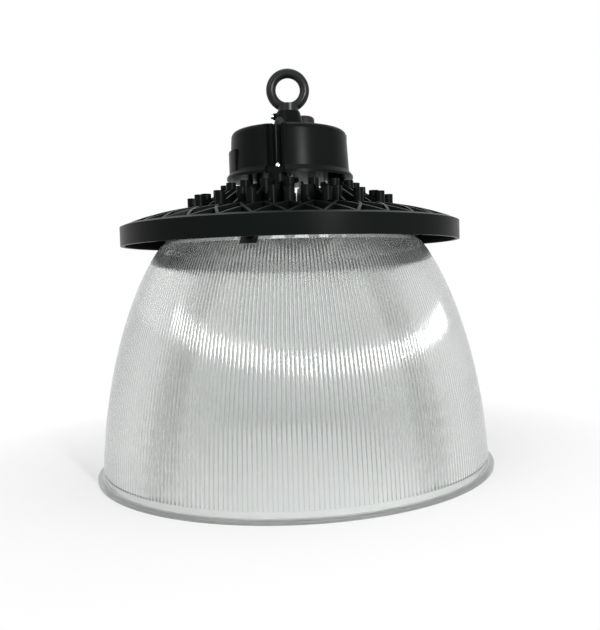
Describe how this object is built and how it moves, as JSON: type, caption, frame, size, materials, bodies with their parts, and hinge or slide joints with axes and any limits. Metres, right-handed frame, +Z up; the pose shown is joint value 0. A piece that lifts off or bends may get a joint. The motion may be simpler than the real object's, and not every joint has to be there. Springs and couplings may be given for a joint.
{
  "type": "high bay light",
  "caption": "Hanging high bay light: a net-finned round heat sink with a drum driver housing and lifting eye above, and a clear prismatic bell shade below.",
  "frame": {"origin": "centre of the shade's bottom rim plane, which is the lowest point of the light", "axes": "+Z up the light's axis towards the lifting eye; -Y is the front, which the eye's ring and one fluted leg face; +X is to the front's right"},
  "size_m": [0.41, 0.41, 0.4135],
  "materials": {
    "black_casting": "die cast, satin black powder coat",
    "black_steel": "semi-gloss black",
    "bright_steel": "zinc plated",
    "black_plastic": "moulded black nylon",
    "black_rubber": "matt black",
    "grey_rubber": "grey silicone",
    "driver_case": "potting compound in a dark case",
    "white_plastic": "white nylon",
    "white_lead": "silicone sheath",
    "thermal_pad": "grey silicone sheet",
    "white_board": "white solder mask on aluminium",
    "phosphor": "yellow phosphor in a white package",
    "clear_lens": "clear polycarbonate",
    "clear_shade": "clear prismatic polycarbonate"
  },
  "bodies": {
    "root": {"heat_sink": "black_casting", "driver_cover": "black_casting", "driver_base": "black_casting", "cover_gasket": "grey_rubber", "led_driver": "driver_case", "terminal_block": "white_plastic", "led_lead": "white_lead", "base_grommet": "black_rubber", "plate_grommet": "black_rubber", "eye_bolt": "black_steel", "eye_lock_screw": "bright_steel", "gland_body": "black_plastic", "gland_nut": "black_plastic", "gland_seal": "black_rubber", "vent_plug": "black_plastic", "thermal_sheet": "thermal_pad", "led_board": "white_board", "led_chips": "phosphor", "lens_plate": "clear_lens", "lens_gasket": "grey_rubber", "lens_ring": "black_steel", "shade": "clear_shade", "shade_bracket_1": "black_steel", "shade_bracket_2": "black_steel", "shade_bracket_3": "black_steel", "cover_screws": "bright_steel", "cover_washers": "bright_steel", "base_screws": "bright_steel", "lens_screws": "bright_steel", "bracket_screws": "bright_steel", "shade_screws": "black_steel", "shade_nuts": "bright_steel"}
  },
  "joints": []
}
